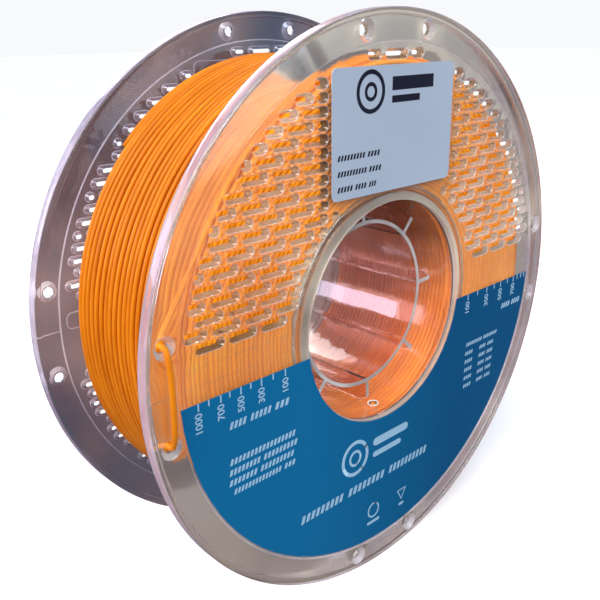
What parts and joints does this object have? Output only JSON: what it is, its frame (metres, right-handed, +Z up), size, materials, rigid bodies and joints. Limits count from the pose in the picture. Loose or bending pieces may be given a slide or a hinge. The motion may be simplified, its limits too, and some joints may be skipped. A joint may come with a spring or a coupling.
{
  "type": "filament spool",
  "caption": "Clear plastic spool with slotted flanges and a ribbed hub, wound full of orange filament, with a plain sticker and a blue gauge label.",
  "frame": {"origin": "middle of the hub bore, on the spool's axis and half way between its two flanges", "axes": "+Y along the spool's axis, away from the labelled face, which faces -Y; +Z up through the middle of the sticker; +X to the right when the labelled face is looked at"},
  "size_m": [0.2, 0.071, 0.2],
  "materials": {
    "clear_plastic": "clear, polished",
    "orange_filament": "satin",
    "white_paper": "smooth matt paper",
    "blue_print": "printed film, semi-gloss"
  },
  "bodies": {
    "root": {"front_flange": "clear_plastic", "rear_flange": "clear_plastic", "hub_drum": "clear_plastic", "core_tube": "clear_plastic", "filament_winding": "orange_filament", "filament_start": "orange_filament", "filament_tail": "orange_filament", "white_label": "white_paper", "blue_label": "blue_print"}
  },
  "joints": []
}
